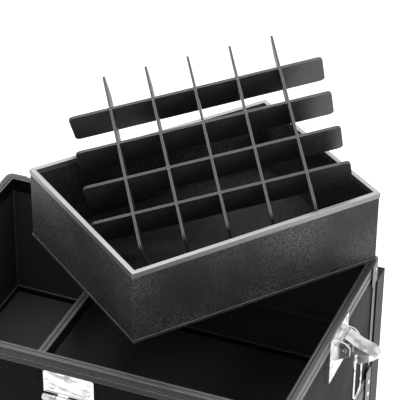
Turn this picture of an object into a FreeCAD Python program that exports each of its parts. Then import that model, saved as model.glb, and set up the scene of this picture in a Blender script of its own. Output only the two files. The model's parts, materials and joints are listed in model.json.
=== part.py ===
"""Makeup train case: an open upper section stacked on a wheeled trunk, with its lift-out tray laid on the rim.

Millimetres. X runs along the case, Y from front to back, +Z up. The origin is the centre of the trunk's
underside. Every node is one STEP file in parts/.
"""
import FreeCAD, Part
import math
import os

os.makedirs("parts", exist_ok=True)
V = FreeCAD.Vector

# ---- driving dimensions -------------------------------------------------------------------------
CASE_LENGTH = 365.0        # outside, over the aluminium profiles
CASE_WIDTH = 246.0
UPPER_HEIGHT = 140.0       # upper section, seam to rim
TRUNK_HEIGHT = 225.0

PROFILE_WIDTH = 7.0        # aluminium edge profile, wall thickness direction
RIM_HEIGHT = 13.0
BASE_HEIGHT = 16.0
PROFILE_CORNER = 5.0       # outer corner radius
GROOVE_WIDTH = 1.0         # seal groove along the top of a profile
GROOVE_DEPTH = 2.5
GROOVE_INSET = 4.0         # from the outer face to the groove
SIDE_GROOVE = 2.2          # height of the decorative groove along a profile's outer face
SIDE_GROOVE_DEPTH = 0.8

BOARD = 5.0                # wall board
BOARD_RECESS = 1.0         # boards lie this far behind the profile's face
FLOOR_BOARD = 4.0
UPPER_FLOOR_LIFT = 6.0     # upper floor board above the section's seam
POST_LEG = 11.0            # corner post, along each wall
GUARD_LEG = 18.0           # steel corner guard, along each wall
GUARD_HEIGHT = 22.0
GUARD = 1.2                # guard sheet thickness, proud of the profile

LEDGE_DROP = 70.0          # tray ledge below the rim
LEDGE_WIDTH = 9.0
LEDGE_HEIGHT = 4.0
PARTITION_X = -33.5
PARTITION_BOARD = 4.0
CAP_WIDTH = 7.0
CAP_HEIGHT = 12.0
CAP_LIP = 1.6              # depth of the groove on the cap's top

TRAY_LENGTH = 246.0
TRAY_WIDTH = 187.5
TRAY_HEIGHT = 70.5
TRAY_WALL = 3.0
TRAY_FLOOR = 2.5
TRAY_WALL_INSET = 0.6      # wall behind the floor's edge
TRIM_WIDTH = 4.2
TRIM_HEIGHT = 5.0
TRAY_CENTRE = (32.9, 76.6)
TRAY_YAW = 52.5

CELLS_LONG = 6             # the divider set makes this many cells along its length
CELLS_CROSS = 5
SET_END_CLEARANCE = 3.9    # the divider set in the tray, each end
SET_SIDE_CLEARANCE = 2.6   # each side
STRIP = 2.2
STRIP_HEIGHT = 41.0
STRIP_CORNER = 5.0
SLOT_CLEARANCE = 0.15      # each side of a strip in its half-lap slot
SET_CENTRE = (29.7, 92.4, 103.1)   # centre of the set's top plane, from the rim's level
SET_TURN = (28.4, -12.4, 31.4)    # yaw, pitch and roll, degrees

HASP_WIDTH = 46.0
HASP_HEIGHT = 22.0
HASP_SHEET = 1.2
HASP_X = -6.9
HASP_GAP = 0.4             # plate below the rim profile
KNUCKLE_RADIUS = 3.0
HINGE_PIN_RADIUS = 1.2
RUN_CLEARANCE = 0.08       # radial, pins in what turns on them
FLAP_LENGTH = 34.0
FLAP_SLOT = 18.0           # slot that goes over the staple of the lid
FLAP_SLOT_HEIGHT = 7.0
FLAP_SLOT_LIFT = 8.0       # slot above the flap's lower edge
KNUCKLE_SPLITS = (0.0, 0.27, 0.5, 0.72, 1.0)
RIVET_RADIUS = 3.6
RIVET_HEIGHT = 1.4

LATCH_Y = 11.5
LATCH_WIDTH = 47.0
LATCH_TOP = 1.0            # base plate's top edge below the rim
LATCH_HEIGHT = 44.0
LATCH_SHEET = 1.5
EAR_REACH = 15.0
LEVER_HALF = 8.0
LEVER_SHEET = 1.4
LEVER_PIVOT = (10.5, -15.0)        # out of the wall, below the rim
BAIL_PIVOT = (19.0, -21.0)
PIVOT_PIN_RADIUS = 1.5
BAIL_WIRE = 1.1            # wire radius
BAIL_SIDE_CLEARANCE = 0.4  # each wire beside the lever's cheek
EAR_CLEARANCE = 0.6        # each ear beside the bail
BAIL_LENGTH = 47.0
BAIL_CORNER = 6.0

SPINE_GAP = 3.0            # between the case's back and the trolley spine
SPINE_DEPTH = 25.0
SPINE_DROP = 28.5          # spine's top below the rim
SPINE_CORNER = 4.0
SPINE_PAD_WIDTH = 120.0
TUBE_SPACING = 150.0
TUBE_RADIUS = 7.0
TUBE_WALL = 1.2
TUBE_CLEARANCE = 0.4
TUBE_BOTTOM = 40.0
GRIP_HEIGHT = 12.0
GRIP_DEPTH = 15.0
GRIP_SEAT = 10.0           # grip recess in the spine's top

WHEEL_RADIUS = 17.0
TYRE = 5.0
WHEEL_WIDTH = 16.0
WHEEL_SIDE_INSET = 32.5    # wheel's middle from the trunk's end
WHEEL_BACK_INSET = 15.0    # axle from the trunk's back
WHEEL_CLEARANCE = 1.5
AXLE_RADIUS = 3.0
FORK_SHEET = 2.5
FORK_GAP = 0.6
FOOT_RADIUS = 14.0
FOOT_SIDE_INSET = 42.5     # foot's middle from the trunk's end
FOOT_FRONT_INSET = 35.0

# ---- levels and shared sizes -------------------------------------------------------------------------
RIM_Z = TRUNK_HEIGHT + UPPER_HEIGHT
HALF_L = CASE_LENGTH / 2
HALF_W = CASE_WIDTH / 2
INNER_L = CASE_LENGTH - 2 * PROFILE_WIDTH
INNER_W = CASE_WIDTH - 2 * PROFILE_WIDTH
BAIL_HALF = LEVER_HALF + BAIL_SIDE_CLEARANCE + BAIL_WIRE    # half the bail's width, on the wires' centres
EAR_INNER = BAIL_HALF + BAIL_WIRE + EAR_CLEARANCE           # half the distance between the ears
WHEEL_X = HALF_L - WHEEL_SIDE_INSET
WHEEL_Y = HALF_W - WHEEL_BACK_INSET
FOOT_X = HALF_L - FOOT_SIDE_INSET
FOOT_Y = HALF_W - FOOT_FRONT_INSET
AXLE_Z = -(WHEEL_RADIUS + WHEEL_CLEARANCE)
GROUND_Z = AXLE_Z - WHEEL_RADIUS


def span(x0, x1, y0, y1, z0, z1):
    """Box between two corners."""
    return Part.makeBox(x1 - x0, y1 - y0, z1 - z0, V(x0, y0, z0))


def centred(length, width, z0, z1):
    """Box centred on the Z axis."""
    return span(-length / 2, length / 2, -width / 2, width / 2, z0, z1)


def along(shape, direction):
    """A shape's straight edges along a direction."""
    found = []
    for edge in shape.Edges:
        run = edge.Vertexes[-1].Point - edge.Vertexes[0].Point
        if run.Length > 1e-6 and abs(abs(run.normalize().dot(direction)) - 1) < 1e-6:
            found.append(edge)
    return found


def rounded(length, width, z0, z1, radius):
    """Box centred on the Z axis with its four upright edges rounded."""
    block = centred(length, width, z0, z1)
    return block.makeFillet(radius, along(block, V(0, 0, 1)))


def cylinder(radius, start, end):
    """Cylinder from one point to another."""
    run = V(*end) - V(*start)
    return Part.makeCylinder(radius, run.Length, V(*start), run)


def export(node, *shapes):
    """Writes one node: a single solid, or a group of separate solids."""
    solids = [solid for shape in shapes for solid in shape.Solids]
    shape = solids[0] if len(solids) == 1 else Part.makeCompound(solids)
    shape.exportStep("parts/" + node + ".step")


def mirrored_x(shape):
    return shape.mirror(V(0, 0, 0), V(1, 0, 0))


# ---- one case section -------------------------------------------------------------------------------
def profile_ring(z0, height, top_groove):
    """Aluminium edge profile round the section, grooved along its outer face and its top."""
    ring = rounded(CASE_LENGTH, CASE_WIDTH, z0, z0 + height, PROFILE_CORNER)
    ring = ring.cut(centred(INNER_L, INNER_W, z0 - 1, z0 + height + 1))
    middle = z0 + height / 2
    low, high = middle - SIDE_GROOVE / 2, middle + SIDE_GROOVE / 2
    outer = rounded(CASE_LENGTH + 2, CASE_WIDTH + 2, low, high, PROFILE_CORNER + 1)
    core = rounded(CASE_LENGTH - 2 * SIDE_GROOVE_DEPTH, CASE_WIDTH - 2 * SIDE_GROOVE_DEPTH,
                   low, high, PROFILE_CORNER - SIDE_GROOVE_DEPTH)
    ring = ring.cut(outer.cut(core))
    if top_groove:
        top = z0 + height
        inset = GROOVE_INSET + GROOVE_WIDTH
        wide = centred(CASE_LENGTH - 2 * GROOVE_INSET, CASE_WIDTH - 2 * GROOVE_INSET, top - GROOVE_DEPTH, top + 1)
        slim = centred(CASE_LENGTH - 2 * inset, CASE_WIDTH - 2 * inset, top - GROOVE_DEPTH, top + 1)
        ring = ring.cut(wide.cut(slim))
    return ring


def corner_pieces(shell, leg, z0, z1):
    """The parts of a shell that lie near the four upright corners."""
    pieces = []
    reach = GUARD + 1
    for sx in (-1, 1):
        for sy in (-1, 1):
            xs = sorted((sx * (HALF_L - leg), sx * (HALF_L + reach)))
            ys = sorted((sy * (HALF_W - leg), sy * (HALF_W + reach)))
            pieces.append(shell.common(span(xs[0], xs[1], ys[0], ys[1], z0, z1)))
    return pieces


def section(name, z0, height, floor_lift):
    """Boards, profiles, corner posts and corner guards of one open-topped section."""
    top = z0 + height
    low, high = z0 + BASE_HEIGHT, top - RIM_HEIGHT
    outside = rounded(CASE_LENGTH - 2 * BOARD_RECESS, CASE_WIDTH - 2 * BOARD_RECESS,
                      low, high, PROFILE_CORNER - BOARD_RECESS)
    back = HALF_W - BOARD_RECESS
    side = HALF_L - BOARD_RECESS
    export(name + "_front_panel", outside.common(span(-side, side, -back, -back + BOARD, low, high)))
    export(name + "_back_panel", outside.common(span(-side, side, back - BOARD, back, low, high)))
    inner = back - BOARD
    export(name + "_left_panel", span(-side, -side + BOARD, -inner, inner, low, high))
    export(name + "_right_panel", span(side - BOARD, side, -inner, inner, low, high))
    export(name + "_floor", centred(INNER_L, INNER_W, z0 + floor_lift, z0 + floor_lift + FLOOR_BOARD))
    export(name + "_rim_profile", profile_ring(top - RIM_HEIGHT, RIM_HEIGHT, True))
    export(name + "_base_profile", profile_ring(z0, BASE_HEIGHT, False))
    post_skin = rounded(CASE_LENGTH, CASE_WIDTH, low, high, PROFILE_CORNER).cut(outside)
    export(name + "_corner_posts", *corner_pieces(post_skin, POST_LEG, low, high))
    guards = []
    for g0, g1 in ((z0, z0 + GUARD_HEIGHT), (top - GUARD_HEIGHT, top)):
        skin = rounded(CASE_LENGTH + 2 * GUARD, CASE_WIDTH + 2 * GUARD, g0, g1, PROFILE_CORNER + GUARD)
        skin = skin.cut(rounded(CASE_LENGTH, CASE_WIDTH, g0, g1, PROFILE_CORNER))
        guards += corner_pieces(skin, GUARD_LEG, g0, g1)
    export(name + "_corner_guards", *guards)


def upper_fittings():
    """Partition with its profile cap, and the ledges that carry a tray."""
    floor_top = TRUNK_HEIGHT + UPPER_FLOOR_LIFT + FLOOR_BOARD
    inner = HALF_W - BOARD_RECESS - BOARD
    base_top = TRUNK_HEIGHT + BASE_HEIGHT
    cap_z = RIM_Z - CAP_HEIGHT
    half = PARTITION_BOARD / 2
    board = span(PARTITION_X - half, PARTITION_X + half, -INNER_W / 2, INNER_W / 2, floor_top, cap_z)
    export("partition_board", board)
    cap = span(PARTITION_X - CAP_WIDTH / 2, PARTITION_X + CAP_WIDTH / 2, -INNER_W / 2, INNER_W / 2, cap_z, RIM_Z)
    lip = GROOVE_WIDTH / 2
    groove = span(PARTITION_X - lip, PARTITION_X + lip, -INNER_W / 2, INNER_W / 2, RIM_Z - CAP_LIP, RIM_Z)
    export("partition_cap", cap.cut(groove))
    right = HALF_L - BOARD_RECESS - BOARD
    start = PARTITION_X + half
    top = RIM_Z - LEDGE_DROP
    ledges = []
    for sign in (-1, 1):
        ys = sorted((sign * inner, sign * (inner - LEDGE_WIDTH)))
        ledges.append(span(start, right, ys[0], ys[1], max(base_top, top - LEDGE_HEIGHT), top))
    export("tray_ledges", *ledges)


# ---- lift-out tray and its dividers --------------------------------------------------------------------
def tray_place(shape):
    shape.rotate(V(0, 0, 0), V(0, 0, 1), TRAY_YAW)
    shape.translate(V(TRAY_CENTRE[0], TRAY_CENTRE[1], RIM_Z))
    return shape


def tray():
    """Open tray: floor plate, four wall boards and a rim trim."""
    half_l = TRAY_LENGTH / 2 - TRAY_WALL_INSET
    half_w = TRAY_WIDTH / 2 - TRAY_WALL_INSET
    trim_z = TRAY_HEIGHT - TRIM_HEIGHT
    plate = centred(TRAY_LENGTH, TRAY_WIDTH, 0, TRAY_FLOOR)
    walls = {
        "tray_front_wall": span(-half_l, half_l, -half_w, -half_w + TRAY_WALL, TRAY_FLOOR, trim_z),
        "tray_back_wall": span(-half_l, half_l, half_w - TRAY_WALL, half_w, TRAY_FLOOR, trim_z),
    }
    inner_w = half_w - TRAY_WALL
    walls["tray_left_wall"] = span(-half_l, -half_l + TRAY_WALL, -inner_w, inner_w, TRAY_FLOOR, trim_z)
    walls["tray_right_wall"] = span(half_l - TRAY_WALL, half_l, -inner_w, inner_w, TRAY_FLOOR, trim_z)
    trim = centred(TRAY_LENGTH, TRAY_WIDTH, trim_z, TRAY_HEIGHT)
    trim = trim.cut(centred(TRAY_LENGTH - 2 * TRIM_WIDTH, TRAY_WIDTH - 2 * TRIM_WIDTH, trim_z, TRAY_HEIGHT))
    export("tray_floor", tray_place(plate))
    for node, wall in walls.items():
        export(node, tray_place(wall))
    export("tray_rim_trim", tray_place(trim))


def strip(length, slots, slot_from_top):
    """A divider strip along X, centred on X, top edge at Z 0, with half-lap slots at the given places."""
    half = STRIP / 2
    board = span(-length / 2, length / 2, -half, half, -STRIP_HEIGHT, 0)
    corners = [e for e in along(board, V(0, 1, 0))]
    board = board.makeFillet(STRIP_CORNER, corners)
    reach = half + SLOT_CLEARANCE
    middle = -STRIP_HEIGHT / 2
    z0, z1 = (middle - SLOT_CLEARANCE, 1) if slot_from_top else (-STRIP_HEIGHT - 1, middle + SLOT_CLEARANCE)
    for x in slots:
        board = board.cut(span(x - reach, x + reach, -STRIP, STRIP, z0, z1))
    return board


def set_place(shape):
    yaw, pitch, roll = SET_TURN
    shape.rotate(V(0, 0, 0), V(1, 0, 0), roll)
    shape.rotate(V(0, 0, 0), V(0, 1, 0), pitch)
    shape.rotate(V(0, 0, 0), V(0, 0, 1), yaw)
    shape.translate(V(SET_CENTRE[0], SET_CENTRE[1], RIM_Z + SET_CENTRE[2]))
    return shape


def dividers():
    """Egg-crate set of strips that slot into each other, lying tilted in the tray."""
    wall = 2 * (TRAY_WALL + TRAY_WALL_INSET)
    length = TRAY_LENGTH - wall - 2 * SET_END_CLEARANCE
    width = TRAY_WIDTH - wall - 2 * SET_SIDE_CLEARANCE
    pitch_x = length / CELLS_LONG
    pitch_y = width / CELLS_CROSS
    xs = [(i - CELLS_LONG / 2) * pitch_x for i in range(1, CELLS_LONG)]
    ys = [(CELLS_CROSS / 2 - j) * pitch_y for j in range(1, CELLS_CROSS)]
    for number, y in enumerate(ys, 1):
        board = strip(length, xs, False)
        board.translate(V(0, y, 0))
        export("long_divider_%d" % number, set_place(board))
    for number, x in enumerate(xs, 1):
        board = strip(width, ys, True)
        board.rotate(V(0, 0, 0), V(0, 0, 1), 90)
        board.translate(V(x, 0, 0))
        export("cross_divider_%d" % number, set_place(board))


# ---- hasp on the front wall ------------------------------------------------------------------------------
def dome(radius, height):
    """Rivet head: a spherical cap standing on Z 0."""
    ball = (radius ** 2 + height ** 2) / (2 * height)
    sphere = Part.makeSphere(ball, V(0, 0, height - ball))
    return sphere.common(span(-ball, ball, -ball, ball, 0, height + 1))


def facing(shape, direction):
    """Turns a shape that stands up along Z to face a horizontal direction."""
    turn = FreeCAD.Rotation(V(0, 0, 1), V(*direction))
    shape.Placement = FreeCAD.Placement(V(0, 0, 0), turn)
    return shape


def hasp():
    """Riveted plate with a knuckle along its lower edge, and the flap that hangs from it."""
    board_y = -HALF_W + BOARD_RECESS
    face_y = board_y - HASP_SHEET
    top = RIM_Z - RIM_HEIGHT - HASP_GAP
    low = top - HASP_HEIGHT
    x0 = HASP_X - HASP_WIDTH / 2
    axis_y = board_y - KNUCKLE_RADIUS - 0.2
    axis_z = low - KNUCKLE_RADIUS - 0.6
    end = HASP_X + HASP_WIDTH / 2
    bore = cylinder(HINGE_PIN_RADIUS, (x0 - 1, axis_y, axis_z), (end + 1, axis_y, axis_z))
    plate = span(x0, end, face_y, board_y, low, top)
    plate = plate.makeFillet(2.0, [e for e in along(plate, V(0, 1, 0)) if e.CenterOfMass.z > top - 1])
    flap_top = axis_z - KNUCKLE_RADIUS - 0.6
    flap_low = flap_top - FLAP_LENGTH
    flap = span(x0, end, axis_y - HASP_SHEET / 2, axis_y + HASP_SHEET / 2, flap_low, flap_top)
    flap = flap.makeFillet(9.0, [e for e in along(flap, V(0, 1, 0)) if e.CenterOfMass.z < flap_low + 1])
    slot_low = flap_low + FLAP_SLOT_LIFT
    slot = span(HASP_X - FLAP_SLOT / 2, HASP_X + FLAP_SLOT / 2, axis_y - 3, axis_y + 3,
                slot_low, slot_low + FLAP_SLOT_HEIGHT)
    slot = slot.makeFillet(2.0, along(slot, V(0, 1, 0)))
    flap = flap.cut(slot)
    cuts = [x0 + HASP_WIDTH * share for share in KNUCKLE_SPLITS]
    gap = 0.3
    for index in range(len(cuts) - 1):
        a, b = cuts[index] + gap, cuts[index + 1] - gap
        barrel = cylinder(KNUCKLE_RADIUS, (a, axis_y, axis_z), (b, axis_y, axis_z))
        if index % 2:
            arm = span(a, b, face_y, board_y, axis_z, low)
            plate = plate.fuse([barrel, arm])
        else:
            arm = span(a, b, axis_y - HASP_SHEET / 2, axis_y + HASP_SHEET / 2, flap_top, axis_z)
            flap = flap.fuse([barrel, arm])
    plate = plate.cut(bore)
    flap = flap.cut(cylinder(HINGE_PIN_RADIUS + RUN_CLEARANCE, (x0 - 1, axis_y, axis_z), (end + 1, axis_y, axis_z)))
    export("hasp_plate", plate.removeSplitter())
    export("hasp_flap", flap.removeSplitter())
    export("hasp_pin", cylinder(HINGE_PIN_RADIUS, (x0 + gap, axis_y, axis_z), (end - gap, axis_y, axis_z)))
    rivets = []
    for dx, dz in ((-0.5, -4.2), (-15.5, -14.2), (16.5, -13.0)):
        head = facing(dome(RIVET_RADIUS, RIVET_HEIGHT), (0, -1, 0))
        head.translate(V(HASP_X + dx, face_y, top + dz))
        rivets.append(head)
    export("hasp_rivets", *rivets)


# ---- toggle latch on an end wall ------------------------------------------------------------------------
def outline(points, y0, y1):
    """Prism along Y over an outline of X and Z points."""
    wire = Part.makePolygon([V(x, y0, z) for x, z in points + points[:1]])
    return Part.Face(wire).extrude(V(0, y1 - y0, 0))


def latch_base():
    """Plate on the wall with two ears; X is out of the wall's profile face, Z is from the rim."""
    half = LATCH_WIDTH / 2
    low = -LATCH_TOP - LATCH_HEIGHT
    plate = span(0, LATCH_SHEET, -half, half, low, -LATCH_TOP)
    pad = span(-BOARD_RECESS, 0, -half, half, low, -RIM_HEIGHT)
    ears = []
    ear = [(LATCH_SHEET, -LATCH_TOP - 5), (EAR_REACH - 4, -LATCH_TOP - 7), (EAR_REACH, -LATCH_TOP - 11),
           (EAR_REACH, -LATCH_TOP - 19), (LATCH_SHEET, -LATCH_TOP - 27)]
    for side in (-1, 1):
        ys = sorted((side * EAR_INNER, side * (EAR_INNER + LATCH_SHEET)))
        ears.append(outline(ear, ys[0], ys[1]))
    base = plate.fuse([pad] + ears).removeSplitter()
    reach = EAR_INNER + LATCH_SHEET + 1
    px, pz = LEVER_PIVOT
    return base.cut(cylinder(PIVOT_PIN_RADIUS, (px, -reach, pz), (px, reach, pz)))


def latch_lever():
    """Duck-bill lever: a channel round the pivot that thins out to a finger paddle."""
    outer = [(5.0, -6.5), (8.5, -5.5), (21.0, -12.5), (38.5, -18.0), (38.0, -20.6), (34.0, -22.5),
             (21.5, -29.0), (16.5, -26.5), (5.8, -18.0)]
    hollow = [(1.0, -11.0), (8.0, -7.5), (20.4, -14.1), (33.5, -19.6), (33.0, -26.0), (21.5, -32.0),
              (14.0, -32.0), (1.0, -22.0)]
    tip = max(x for x, z in outer)
    lever = outline(outer, -LEVER_HALF, LEVER_HALF)
    nose = cylinder(LEVER_HALF, (tip - LEVER_HALF, 0, min(z for x, z in outer)), (tip - LEVER_HALF, 0, 0))
    lever = lever.common(nose.fuse(span(0, tip - LEVER_HALF, -LEVER_HALF, LEVER_HALF, -40, 0)))
    lever = lever.cut(outline(hollow, -LEVER_HALF + LEVER_SHEET, LEVER_HALF - LEVER_SHEET))
    reach = LEVER_HALF + 1
    for (px, pz), radius in ((LEVER_PIVOT, PIVOT_PIN_RADIUS), (BAIL_PIVOT, BAIL_WIRE)):
        hole = radius + RUN_CLEARANCE
        lever = lever.cut(cylinder(hole, (px, -reach, pz), (px, reach, pz)))
    return lever


def latch_bail():
    """Wire bail: a U that hangs from the lever, its ends turned in through the lever's cheeks."""
    px, pz = BAIL_PIVOT
    inward = LEVER_HALF - LEVER_SHEET - 1.5
    low = pz - BAIL_LENGTH
    r = BAIL_CORNER
    k = r * (1 - math.sqrt(0.5))
    left, right = -BAIL_HALF, BAIL_HALF
    bend = BAIL_WIRE + 0.5
    q = bend * (1 - math.sqrt(0.5))
    edges = [
        Part.LineSegment(V(px, -inward, pz), V(px, left + bend, pz)),
        Part.Arc(V(px, left + bend, pz), V(px, left + q, pz - q), V(px, left, pz - bend)),
        Part.LineSegment(V(px, left, pz - bend), V(px, left, low + r)),
        Part.Arc(V(px, left, low + r), V(px, left + k, low + k), V(px, left + r, low)),
        Part.LineSegment(V(px, left + r, low), V(px, right - r, low)),
        Part.Arc(V(px, right - r, low), V(px, right - k, low + k), V(px, right, low + r)),
        Part.LineSegment(V(px, right, low + r), V(px, right, pz - bend)),
        Part.Arc(V(px, right, pz - bend), V(px, right - q, pz - q), V(px, right - bend, pz)),
        Part.LineSegment(V(px, right - bend, pz), V(px, inward, pz)),
    ]
    path = Part.Wire([e.toShape() for e in edges])
    circle = Part.Wire(Part.makeCircle(BAIL_WIRE, V(px, -inward, pz), V(0, -1, 0)))
    return path.makePipeShell([circle], True, True)


def latch(side, sign):
    """One toggle latch: built out of +X, then mirrored for the other end wall."""
    px, pz = LEVER_PIVOT
    pin_end = EAR_INNER + LATCH_SHEET
    pin = cylinder(PIVOT_PIN_RADIUS, (px, -pin_end, pz), (px, pin_end, pz))
    rivets = []
    for dy in (-1, 1):
        for z in (-LATCH_TOP - 5, -LATCH_TOP - LATCH_HEIGHT + 5):
            head = facing(dome(RIVET_RADIUS * 0.75, RIVET_HEIGHT), (1, 0, 0))
            head.translate(V(LATCH_SHEET, dy * (LATCH_WIDTH / 2 - RIVET_RADIUS), z))
            rivets.append(head)
    pieces = {"base": [latch_base()], "pin": [pin], "rivets": rivets,
              "lever": [latch_lever()], "bail": [latch_bail()]}
    for piece, shapes in pieces.items():
        for shape in shapes:
            shape.translate(V(HALF_L, LATCH_Y, RIM_Z))
        placed = shapes if sign > 0 else [mirrored_x(shape) for shape in shapes]
        export("latch_%s_%s" % (side, piece), *placed)


# ---- trolley spine, wheels and feet -------------------------------------------------------------------
def spine():
    """Housing behind the trunk that holds the stowed pull handle."""
    y0 = HALF_W + SPINE_GAP
    y1 = y0 + SPINE_DEPTH
    top = RIM_Z - SPINE_DROP
    body = span(-HALF_L, HALF_L, y0, y1, 0, top)
    body = body.makeFillet(SPINE_CORNER, [e for e in along(body, V(1, 0, 0)) if e.CenterOfMass.y > y1 - 1]
                           + [e for e in along(body, V(0, 0, 1)) if e.CenterOfMass.y > y1 - 1])
    pad = span(-SPINE_PAD_WIDTH / 2, SPINE_PAD_WIDTH / 2, HALF_W, y0, 0, TRUNK_HEIGHT)
    body = body.fuse(pad).removeSplitter()
    middle = (y0 + y1) / 2
    tubes = []
    seat = top - GRIP_SEAT
    half = TUBE_SPACING / 2
    for x in (-half, half):
        body = body.cut(cylinder(TUBE_RADIUS + TUBE_CLEARANCE, (x, middle, TUBE_BOTTOM), (x, middle, top + 1)))
        tube = cylinder(TUBE_RADIUS, (x, middle, TUBE_BOTTOM), (x, middle, seat))
        tubes.append(tube.cut(cylinder(TUBE_RADIUS - TUBE_WALL, (x, middle, TUBE_BOTTOM), (x, middle, seat))))
    grip_half = half + TUBE_RADIUS + 4
    pocket = TUBE_CLEARANCE + 0.6
    body = body.cut(span(-grip_half - pocket, grip_half + pocket, middle - GRIP_DEPTH / 2 - pocket,
                         middle + GRIP_DEPTH / 2 + pocket, seat, top + 1))
    grip = span(-grip_half, grip_half, middle - GRIP_DEPTH / 2, middle + GRIP_DEPTH / 2, seat, seat + GRIP_HEIGHT)
    grip = grip.makeFillet(3.0, along(grip, V(0, 0, 1)))
    export("spine_housing", body)
    export("handle_tubes", *tubes)
    export("handle_grip", grip)


def wheels():
    """Two wheels on stub axles in forks under the trunk's rear corners, and two front feet."""
    forks, axles = [], []
    cheek = WHEEL_WIDTH / 2 + FORK_GAP
    for side, x in (("left", -WHEEL_X), ("right", WHEEL_X)):
        ends = ((x - WHEEL_WIDTH / 2, WHEEL_Y, AXLE_Z), (x + WHEEL_WIDTH / 2, WHEEL_Y, AXLE_Z))
        hub = cylinder(WHEEL_RADIUS - TYRE, *ends)
        tyre = cylinder(WHEEL_RADIUS, *ends).cut(hub)
        tyre = tyre.makeFillet(2.0, [e for e in tyre.Edges if hasattr(e.Curve, "Radius")
                                     and abs(e.Curve.Radius - WHEEL_RADIUS) < 0.01 and len(e.Vertexes) == 1])
        export("tyre_" + side, tyre)
        export("hub_" + side, hub.cut(cylinder(AXLE_RADIUS + RUN_CLEARANCE, *ends)))
        outer = cheek + FORK_SHEET
        axles.append(cylinder(AXLE_RADIUS, (x - outer, WHEEL_Y, AXLE_Z), (x + outer, WHEEL_Y, AXLE_Z)))
        for sign in (-1, 1):
            xs = sorted((x + sign * cheek, x + sign * outer))
            ear = span(xs[0], xs[1], WHEEL_Y - 9, WHEEL_Y + 9, AXLE_Z - 8, 0)
            ear = ear.makeFillet(7.0, [e for e in along(ear, V(1, 0, 0)) if e.CenterOfMass.z < AXLE_Z])
            forks.append(ear.cut(cylinder(AXLE_RADIUS, (xs[0] - 1, WHEEL_Y, AXLE_Z), (xs[1] + 1, WHEEL_Y, AXLE_Z))))
    export("wheel_forks", *forks)
    export("wheel_axles", *axles)
    feet = []
    for x in (-FOOT_X, FOOT_X):
        foot = Part.makeCone(FOOT_RADIUS * 0.8, FOOT_RADIUS, -GROUND_Z, V(x, -FOOT_Y, GROUND_Z))
        feet.append(foot)
    export("front_feet", *feet)


section("trunk", 0.0, TRUNK_HEIGHT, 0.0)
section("case", TRUNK_HEIGHT, UPPER_HEIGHT, UPPER_FLOOR_LIFT)
upper_fittings()
tray()
dividers()
hasp()
latch("right", 1)
latch("left", -1)
spine()
wheels()
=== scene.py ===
"""Looks of the makeup train case: finishes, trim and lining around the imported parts.

Lengths are in metres, in the part's own frame.
"""
import bmesh
import bpy
import json
import math
from mathutils import Matrix, Vector

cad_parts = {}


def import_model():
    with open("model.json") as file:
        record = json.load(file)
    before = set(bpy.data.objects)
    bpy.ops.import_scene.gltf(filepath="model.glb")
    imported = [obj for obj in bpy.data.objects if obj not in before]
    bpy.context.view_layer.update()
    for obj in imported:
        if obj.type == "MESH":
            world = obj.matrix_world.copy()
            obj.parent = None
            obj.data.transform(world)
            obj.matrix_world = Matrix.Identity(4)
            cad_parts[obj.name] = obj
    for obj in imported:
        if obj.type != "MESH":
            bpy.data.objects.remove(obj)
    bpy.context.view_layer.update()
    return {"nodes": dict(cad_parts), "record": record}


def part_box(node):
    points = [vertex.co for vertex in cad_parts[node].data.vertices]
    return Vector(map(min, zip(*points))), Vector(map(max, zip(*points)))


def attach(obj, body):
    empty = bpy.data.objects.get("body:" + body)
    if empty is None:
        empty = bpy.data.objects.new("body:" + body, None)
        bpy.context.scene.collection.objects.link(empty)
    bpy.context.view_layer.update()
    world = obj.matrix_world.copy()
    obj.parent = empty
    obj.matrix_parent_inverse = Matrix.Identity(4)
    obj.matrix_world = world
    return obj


MM = 0.001
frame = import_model()


# ---- sizes read from the frame -------------------------------------------------------
def low_high(node):
    """The low and the high corner of one node's box."""
    low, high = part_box(node)
    return Vector(low), Vector(high)


RIM_TOP = low_high("case_rim_profile")[1].z
FLOOR_TOP = low_high("case_floor")[1].z
PANEL_LOW, PANEL_HIGH = low_high("case_right_panel")
GUARDS = {"case": low_high("case_corner_guards"), "trunk": low_high("trunk_corner_guards")}
INNER_X = PANEL_LOW.x
INNER_Y = low_high("case_back_panel")[0].y
GROUND = low_high("tyre_left")[0].z


# ---- shader helpers ------------------------------------------------------------------
BEVEL_SAMPLES = 6
CELL_SMOOTHNESS = 0.6
# Nearly all of a noise's values lie between these two.
NOISE_LOW, NOISE_HIGH = 0.3, 0.7


def shaded(colour, factor):
    """The same colour, darker or lighter."""
    return tuple(factor * part for part in colour)


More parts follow.
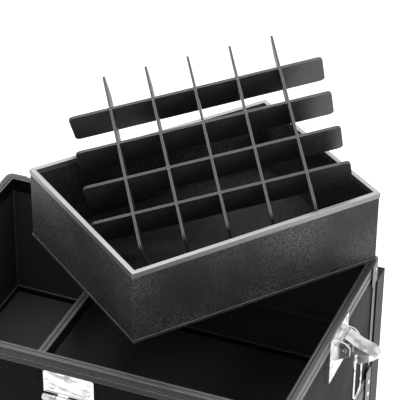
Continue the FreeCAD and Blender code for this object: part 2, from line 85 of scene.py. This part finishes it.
class Shader:
    """A material's node tree, with short calls for the nodes used here."""

    def __init__(self, name):
        self.material = bpy.data.materials.new(name)
        self.material.use_nodes = True
        self.tree = self.material.node_tree
        self.surface = self.tree.nodes["Principled BSDF"]

    def node(self, kind, **settings):
        """A new node, each setting given to its property or its input of that name."""
        made = self.tree.nodes.new(kind)
        for key, value in settings.items():
            if hasattr(made, key):
                setattr(made, key, value)
            else:
                made.inputs[key].default_value = value
        return made

    def link(self, source, target):
        self.tree.links.new(source, target)

    def math(self, operation, first, second=None):
        made = self.node("ShaderNodeMath", operation=operation)
        for index, value in enumerate((first, second)):
            if value is None:
                continue
            if isinstance(value, (int, float)):
                made.inputs[index].default_value = value
            else:
                self.link(value, made.inputs[index])
        return made.outputs[0]

    def place(self):
        """The point in the part's frame, which moves with the piece."""
        return self.node("ShaderNodeTexCoord").outputs["Object"]

    def scaled(self, factors):
        """The point, with each axis multiplied by its own factor."""
        made = self.node("ShaderNodeMapping")
        made.inputs["Scale"].default_value = factors
        self.link(self.place(), made.inputs["Vector"])
        return made.outputs["Vector"]

    def noise(self, scale, detail=3.0, vector=None):
        made = self.node("ShaderNodeTexNoise", Scale=scale, Detail=detail)
        self.link(vector or self.place(), made.inputs["Vector"])
        return made.outputs["Fac"]

    def cells(self, scale):
        """The distance from the middle of the nearest rounded cell."""
        made = self.node("ShaderNodeTexVoronoi", feature="SMOOTH_F1")
        made.inputs["Scale"].default_value = scale
        made.inputs["Smoothness"].default_value = CELL_SMOOTHNESS
        self.link(self.place(), made.inputs["Vector"])
        return made.outputs["Distance"]

    def ramp(self, value, low, high):
        """Zero at low, one at high, smooth between."""
        made = self.node("ShaderNodeMapRange", interpolation_type="SMOOTHSTEP")
        self.link(value, made.inputs["Value"])
        made.inputs["From Min"].default_value = low
        made.inputs["From Max"].default_value = high
        return made.outputs["Result"]

    def mix(self, share, first, second):
        """The first colour where the share is zero, the second where it is one."""
        made = self.node("ShaderNodeMix", data_type="RGBA")
        self.link(share, made.inputs["Factor"])
        for name, value in (("A", first), ("B", second)):
            socket = [s for s in made.inputs if s.name == name and s.type == "RGBA"][0]
            if isinstance(value, (tuple, list)):
                socket.default_value = (*value, 1.0)
            else:
                self.link(value, socket)
        return [s for s in made.outputs if s.type == "RGBA"][0]

    def bevel(self, radius):
        """A normal that rounds sharp edges to a radius."""
        made = self.node("ShaderNodeBevel", samples=BEVEL_SAMPLES)
        made.inputs["Radius"].default_value = radius
        return made.outputs["Normal"]

    def edges(self, radius, low=0.02, high=0.25):
        """One along a piece's edges and zero on its faces."""
        rounded = self.bevel(radius)
        geometry = self.node("ShaderNodeNewGeometry")
        dot = self.node("ShaderNodeVectorMath", operation="DOT_PRODUCT")
        self.link(rounded, dot.inputs[0])
        self.link(geometry.outputs["Normal"], dot.inputs[1])
        return self.ramp(self.math("SUBTRACT", 1.0, dot.outputs["Value"]), low, high)

    def upward(self):
        """One on faces that look up, zero on walls."""
        split = self.node("ShaderNodeSeparateXYZ")
        self.link(self.node("ShaderNodeTexCoord").outputs["Normal"], split.inputs["Vector"])
        return self.ramp(split.outputs["Z"], low=0.35, high=0.8)

    def within(self, half_x, half_y):
        """One inside an upright box round the Z axis, zero outside it."""
        split = self.node("ShaderNodeSeparateXYZ")
        self.link(self.place(), split.inputs["Vector"])
        near_x = self.math("LESS_THAN", self.math("ABSOLUTE", split.outputs["X"]), half_x)
        near_y = self.math("LESS_THAN", self.math("ABSOLUTE", split.outputs["Y"]), half_y)
        return self.math("MULTIPLY", near_x, near_y)

    def bump(self, height, distance, strength=1.0, normal=None):
        """Raises the surface by a pattern, over a normal that is already rounded."""
        made = self.node("ShaderNodeBump")
        made.inputs["Distance"].default_value = distance
        made.inputs["Strength"].default_value = strength
        self.link(height, made.inputs["Height"])
        if normal:
            self.link(normal, made.inputs["Normal"])
        self.link(made.outputs["Normal"], self.surface.inputs["Normal"])

    def varied(self, value, low, high, target):
        """Feeds a shader socket with a number that a pattern moves between two values."""
        made = self.node("ShaderNodeMapRange")
        self.link(value, made.inputs["Value"])
        made.inputs["From Min"].default_value = NOISE_LOW
        made.inputs["From Max"].default_value = NOISE_HIGH
        made.inputs["To Min"].default_value = low
        made.inputs["To Max"].default_value = high
        self.link(made.outputs["Result"], self.surface.inputs[target])

    def colour(self, value):
        self.link(value, self.surface.inputs["Base Color"])

    def set(self, **values):
        """Sets shader sockets, each named with _ for a space."""
        for name, value in values.items():
            self.surface.inputs[name.replace("_", " ")].default_value = value


# ---- finishes ------------------------------------------------------------------------
# How far outside the inner faces of the walls the lining's colour still counts.
LINING_MARGIN = 0.5 * MM


def pebble_board(name, dark, light, grain, edge_wear_and_highlight, shine, lining=None):
    """Pebble-grained black skin over board, with pale edges that are partly wear and partly painted
    highlight, and a lining colour inside the walls.
    """
    made = Shader(name)
    patches = made.noise(scale=14.0, detail=4.0)
    cells = made.cells(grain)
    speck = made.mix(made.ramp(cells, low=0.25, high=0.75), light, dark)
    skin = made.mix(made.ramp(patches, low=0.35, high=0.75), speck, dark)
    if lining:
        inside = made.within(INNER_X + LINING_MARGIN, INNER_Y + LINING_MARGIN)
        skin = made.mix(inside, skin, lining)
    # Pale edges: partly wear, partly a painted highlight.
    made.colour(made.mix(made.edges(radius=0.7 * MM), skin, edge_wear_and_highlight))
    made.set(Specular_IOR_Level=shine)
    made.varied(patches, low=0.42, high=0.56, target="Roughness")
    made.bump(cells, distance=0.12 * MM, strength=0.8, normal=made.bevel(0.5 * MM))
    return made


def anodised(name, colour, top_highlight, lip_wear_and_highlight, rough=0.34):
    """Anodised metal with level brush lines, a painted highlight on faces that look up, and pale edges that
    are partly worn bare metal and partly painted highlight.
    """
    made = Shader(name)
    brushed = made.noise(scale=900.0, detail=2.0, vector=made.scaled((0.02, 0.02, 1.0)))
    clouds = made.noise(scale=9.0)
    tint = made.mix(made.ramp(clouds, low=0.3, high=0.7), colour, shaded(colour, 0.72))
    # Painted highlight: faces that look up get a lighter colour, as if lit from above.
    tint = made.mix(made.upward(), tint, top_highlight)
    # Pale edges: partly worn bare metal, partly a painted highlight.
    made.colour(made.mix(made.edges(radius=0.55 * MM, low=0.03, high=0.4), tint, lip_wear_and_highlight))
    made.set(Metallic=0.85)
    made.varied(brushed, low=rough - 0.06, high=rough + 0.08, target="Roughness")
    made.bump(brushed, distance=0.03 * MM, strength=0.5, normal=made.bevel(0.45 * MM))
    return made


def plated(name, colour, rough):
    """Nickel plate with a faint haze, darker streaks of painted reflection and rounded edges."""
    made = Shader(name)
    haze = made.noise(scale=60.0, detail=4.0)
    dark_reflection_streaks = made.noise(scale=75.0, detail=1.5, vector=made.scaled((1.0, 1.0, 2.2)))
    ripple = made.noise(scale=220.0, detail=2.0)
    tint = made.mix(made.ramp(haze, low=0.3, high=0.8), colour, shaded(colour, 0.88))
    # Painted reflection: darker streaks stand in for dark surroundings mirrored in the plate.
    made.colour(made.mix(made.ramp(dark_reflection_streaks, low=0.50, high=0.68), tint, shaded(colour, 0.5)))
    made.set(Metallic=1.0)
    made.varied(haze, low=rough, high=rough + 0.1, target="Roughness")
    made.bump(ripple, distance=0.05 * MM, strength=0.25, normal=made.bevel(0.5 * MM))
    return made


def moulded(name, colour, rough, grain):
    """Moulded plastic or rubber with a fine grain, and pale edges that are partly wear and partly a painted
    highlight.
    """
    made = Shader(name)
    grains = made.noise(scale=grain)
    tint = made.mix(made.ramp(grains, low=0.35, high=0.7), colour, shaded(colour, 1.5))
    # Pale edges: partly wear, partly a painted highlight.
    made.colour(made.mix(made.edges(radius=0.9 * MM), tint, shaded(colour, 9.0)))
    made.set(Specular_IOR_Level=0.12)
    made.varied(grains, low=rough, high=rough + 0.12, target="Roughness")
    made.bump(grains, distance=0.08 * MM, strength=0.5, normal=made.bevel(0.8 * MM))
    return made


def divider_finish():
    """Thin black board whose pale grey edges are partly the cut board and partly a painted highlight."""
    face_dark, face_light, cut_and_highlight = (0.035, 0.035, 0.037), (0.060, 0.060, 0.062), (0.42, 0.42, 0.43)
    made = Shader("divider_board")
    fibre = made.noise(scale=260.0, detail=4.0)
    face = made.mix(made.ramp(fibre, low=0.35, high=0.7), face_dark, face_light)
    # Pale grey edges: partly the cut board, partly a painted highlight.
    made.colour(made.mix(made.edges(radius=0.9 * MM, low=0.05, high=0.35), face, cut_and_highlight))
    made.varied(fibre, low=0.4, high=0.55, target="Roughness")
    made.bump(fibre, distance=0.05 * MM, strength=0.5)
    return made


FINISHES = {
    # The boards' edge colours are partly wear and partly a painted highlight.
    "case_board": pebble_board("case_board", dark=(0.006, 0.006, 0.0065), light=(0.014, 0.014, 0.0145),
                               grain=900.0, edge_wear_and_highlight=(0.05, 0.05, 0.05), shine=0.03,
                               lining=(0.062, 0.062, 0.065)),
    "tray_board": pebble_board("tray_board", dark=(0.014, 0.014, 0.015), light=(0.090, 0.090, 0.093),
                               grain=620.0, edge_wear_and_highlight=(0.10, 0.10, 0.10), shine=0.4),
    "divider_board": divider_finish(),
    # The profile and guard finishes carry a painted highlight on their top faces, and pale edges that are
    # partly wear and partly painted highlight.
    "dark_profile": anodised("dark_profile", colour=(0.045, 0.045, 0.047), top_highlight=(0.11, 0.11, 0.113),
                             lip_wear_and_highlight=(0.62, 0.62, 0.63)),
    "guard_steel": anodised("guard_steel", colour=(0.04, 0.04, 0.042), top_highlight=(0.16, 0.16, 0.165),
                            lip_wear_and_highlight=(0.30, 0.30, 0.31), rough=0.3),
    "bright_steel": plated("bright_steel", colour=(0.80, 0.80, 0.80), rough=0.16),
    "fitting_steel": plated("fitting_steel", colour=(0.55, 0.55, 0.57), rough=0.28),
    "moulded_plastic": moulded("moulded_plastic", colour=(0.014, 0.014, 0.015), rough=0.42, grain=700.0),
    "tyre_rubber": moulded("tyre_rubber", colour=(0.02, 0.02, 0.02), rough=0.6, grain=400.0),
    "foot_rubber": moulded("foot_rubber", colour=(0.018, 0.018, 0.018), rough=0.65, grain=400.0),
}
SEAM = moulded("lining_seam", colour=(0.09, 0.09, 0.093), rough=0.5, grain=500.0)

# Nodes that look different from the rest of their material slot.
SPECIAL = {
    # The trim has a painted highlight on its top faces and pale edges that are partly wear and partly
    # painted highlight.
    "tray_rim_trim": anodised("tray_trim", colour=(0.30, 0.30, 0.305), top_highlight=(0.50, 0.50, 0.51),
                              lip_wear_and_highlight=(0.62, 0.62, 0.63), rough=0.4),
    # The tray floor's pale edges are partly wear and partly a painted highlight.
    "tray_floor": pebble_board("tray_floor_board", dark=(0.014, 0.014, 0.015), light=(0.060, 0.060, 0.062),
                               grain=620.0, edge_wear_and_highlight=(0.50, 0.50, 0.51), shine=0.4),
}


def finish_nodes():
    """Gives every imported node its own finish, or that of its material slot."""
    slots = {row["node"]: row["material_slot"] for row in frame["record"]["subparts"]}
    for node, thing in frame["nodes"].items():
        thing.data.materials.clear()
        thing.data.materials.append(SPECIAL.get(node, FINISHES[slots[node]]).material)


# ---- trim that the frame leaves out --------------------------------------------------
TAPE_SINK = 0.3 * MM
CORNER_TAPE_RADIUS = 1.1 * MM
FLOOR_TAPE_RADIUS = 0.9 * MM

RIVET_RADIUS = 2.2 * MM
RIVET_HEIGHT = 0.9 * MM
RIVET_INSET = 11 * MM
RIVET_LIFT = 7 * MM
RIVET_SIDES = 14
# The dome's rings, from rim to crown, as shares of the radius and of the height.
RIVET_RINGS = ((1.0, 0.0), (0.93, 0.45), (0.70, 0.82), (0.36, 0.97))


def bead_run(name, lines, radius):
    """Raised beads along straight runs, round in section, as one piece on the upper section."""
    data = bpy.data.curves.new(name, "CURVE")
    data.dimensions = "3D"
    data.bevel_depth = radius
    data.bevel_resolution = 2
    data.use_fill_caps = True
    for line in lines:
        spline = data.splines.new("POLY")
        spline.points.add(len(line) - 1)
        for point, place in zip(spline.points, line):
            point.co = (*place, 1.0)
    thing = bpy.data.objects.new(name, data)
    bpy.context.scene.collection.objects.link(thing)
    data.materials.append(SEAM.material)
    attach(thing, "case")


def lining():
    """Taped seams of the lining: up each inner corner, and round the walls along the panels' lower edge."""
    x, y = INNER_X - TAPE_SINK, INNER_Y - TAPE_SINK
    low, high = FLOOR_TOP + TAPE_SINK, PANEL_HIGH.z
    corners = []
    for side_x in (-1, 1):
        for side_y in (-1, 1):
            corners.append([(side_x * x, side_y * y, low), (side_x * x, side_y * y, high)])
    bead_run("lining_corner_tape", corners, CORNER_TAPE_RADIUS)
    level = PANEL_LOW.z + TAPE_SINK
    ring = [(-x, -y, level), (-x, y, level), (x, y, level), (x, -y, level), (-x, -y, level)]
    bead_run("lining_floor_tape", [ring], FLOOR_TAPE_RADIUS)


def rivet(mesh, place, out):
    """One domed rivet head, spun about its outward direction."""
    turn = Vector(out).to_track_quat("Z", "Y").to_matrix()
    rings = []
    for wide, tall in RIVET_RINGS:
        ring = []
        for step in range(RIVET_SIDES):
            angle = 2 * math.pi * step / RIVET_SIDES
            across, up = RIVET_RADIUS * wide * math.cos(angle), RIVET_RADIUS * wide * math.sin(angle)
            local = Vector((across, up, RIVET_HEIGHT * tall))
            ring.append(mesh.verts.new(Vector(place) + turn @ local))
        rings.append(ring)
    for below, above in zip(rings, rings[1:]):
        for step in range(RIVET_SIDES):
            after = (step + 1) % RIVET_SIDES
            mesh.faces.new((below[step], below[after], above[after], above[step])).smooth = True
    mesh.faces.new(rings[-1]).smooth = True


def guard_rivets(body):
    """Two small rivets on every corner guard of one section, one on each of its outer faces."""
    low, high = GUARDS[body]
    mesh = bmesh.new()
    for z in (low.z + RIVET_LIFT, high.z - RIVET_LIFT):
        for side_x in (-1, 1):
            for side_y in (-1, 1):
                edge_x, edge_y = side_x * high.x, side_y * high.y
                rivet(mesh, (edge_x, edge_y - side_y * RIVET_INSET, z), (side_x, 0, 0))
                rivet(mesh, (edge_x - side_x * RIVET_INSET, edge_y, z), (0, side_y, 0))
    data = bpy.data.meshes.new(body + "_guard_rivets")
    mesh.to_mesh(data)
    mesh.free()
    data.materials.append(FINISHES["bright_steel"].material)
    thing = bpy.data.objects.new(body + "_guard_rivets", data)
    bpy.context.scene.collection.objects.link(thing)
    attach(thing, body)


# ---- camera, light, floor ------------------------------------------------------------
VIEW_AZIMUTH = 21.62
VIEW_ELEVATION = 32.77
VIEW_ROLL = 0.48
VIEW_DISTANCE = 1.7305
VIEW_TARGET = Vector((0.0366, 0.0594, 0.4267))
LENS = 179.1
VIEW_END = 20

WORLD_FILL = 0.55
FLOOR_GLOW = 0.55
FLOOR_REACH = 6.0


def camera():
    data = bpy.data.cameras.new("view")
    data.lens = LENS
    data.clip_end = VIEW_END
    thing = bpy.data.objects.new("view", data)
    bpy.context.scene.collection.objects.link(thing)
    turn = (Matrix.Rotation(math.radians(VIEW_AZIMUTH), 4, "Z")
            @ Matrix.Rotation(math.radians(90 - VIEW_ELEVATION), 4, "X")
            @ Matrix.Rotation(math.radians(VIEW_ROLL), 4, "Z"))
    thing.matrix_world = Matrix.Translation(VIEW_TARGET + turn @ Vector((0, 0, VIEW_DISTANCE))) @ turn
    bpy.context.scene.camera = thing


def area_light(name, place, size, power):
    """A square light that points at the middle of the rim."""
    data = bpy.data.lights.new(name, "AREA")
    data.size = size
    data.energy = power
    thing = bpy.data.objects.new(name, data)
    bpy.context.scene.collection.objects.link(thing)
    thing.location = place
    aim = Vector((0, 0, RIM_TOP)) - Vector(place)
    thing.rotation_euler = aim.to_track_quat("-Z", "Y").to_euler()


def seen_directly(tree):
    """One for rays that should meet pure white: from the camera, off a shiny face or through glass."""
    path = tree.nodes.new("ShaderNodeLightPath")
    total = path.outputs["Is Camera Ray"]
    for name in ("Is Glossy Ray", "Is Transmission Ray"):
        add = tree.nodes.new("ShaderNodeMath")
        add.operation = "MAXIMUM"
        tree.links.new(total, add.inputs[0])
        tree.links.new(path.outputs[name], add.inputs[1])
        total = add.outputs[0]
    return total


def world(fill):
    """White to rays that meet it directly, and dimmer as a fill light."""
    made = bpy.data.worlds.new("studio")
    made.use_nodes = True
    tree = made.node_tree
    background = tree.nodes["Background"]
    background.inputs["Color"].default_value = (1, 1, 1, 1)
    strength = tree.nodes.new("ShaderNodeMapRange")
    strength.inputs["To Min"].default_value = fill
    tree.links.new(seen_directly(tree), strength.inputs["Value"])
    tree.links.new(strength.outputs["Result"], background.inputs["Strength"])
    bpy.context.scene.world = made


def floor():
    """Pale floor at the wheels' lowest line, bright to the eye, and still holding the shadow."""
    corners = [(-FLOOR_REACH, -FLOOR_REACH, GROUND), (FLOOR_REACH, -FLOOR_REACH, GROUND),
               (FLOOR_REACH, FLOOR_REACH, GROUND), (-FLOOR_REACH, FLOOR_REACH, GROUND)]
    mesh = bpy.data.meshes.new("floor")
    mesh.from_pydata(corners, [], [(0, 1, 2, 3)])
    thing = bpy.data.objects.new("floor", mesh)
    bpy.context.scene.collection.objects.link(thing)
    made = Shader("floor")
    made.set(Base_Color=(0.9, 0.9, 0.9, 1.0), Roughness=0.9, Emission_Color=(1, 1, 1, 1))
    glow = made.math("MULTIPLY", seen_directly(made.tree), FLOOR_GLOW)
    made.link(glow, made.surface.inputs["Emission Strength"])
    mesh.materials.append(made.material)


camera()
world(WORLD_FILL)
area_light("key", place=(1.6, -0.15, 1.4), size=1.1, power=12)
area_light("top", place=(-0.4, 0.2, 2.2), size=1.6, power=22)
floor()
finish_nodes()
lining()
guard_rivets("case")
guard_rivets("trunk")

bpy.context.scene.view_settings.view_transform = "Standard"
